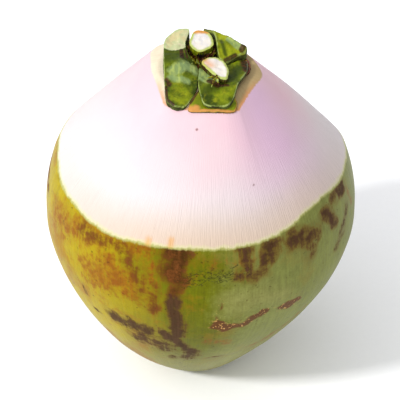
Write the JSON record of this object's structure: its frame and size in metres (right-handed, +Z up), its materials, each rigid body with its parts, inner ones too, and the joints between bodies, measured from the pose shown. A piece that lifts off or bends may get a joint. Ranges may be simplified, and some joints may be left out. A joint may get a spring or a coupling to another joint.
{
  "type": "peeled coconut",
  "caption": "Young green coconut peeled to a white cone at the top, its trimmed calyx and stalk stub left on, standing on a small flat spot.",
  "frame": {"origin": "middle of the bounding box, at the height of the flat spot that the coconut stands on", "axes": "+Z up from the flat spot to the stalk; the side seen in the picture faces -Y; +X to the right of it"},
  "size_m": [0.16, 0.16, 0.1998],
  "materials": {
    "husk": "satin green skin below, matt pinkish white cut husk above",
    "calyx_green": "satin, leathery",
    "petal_olive": "dull, browned edges",
    "cut_flesh": "matt, moist cut"
  },
  "bodies": {
    "root": {"coconut": "husk", "left_sepal": "calyx_green", "front_sepal": "calyx_green", "back_sepal": "calyx_green", "front_petal": "petal_olive", "right_petal": "petal_olive", "back_petal": "petal_olive", "stalk_stub": "cut_flesh", "cut_bract": "cut_flesh"}
  },
  "joints": []
}
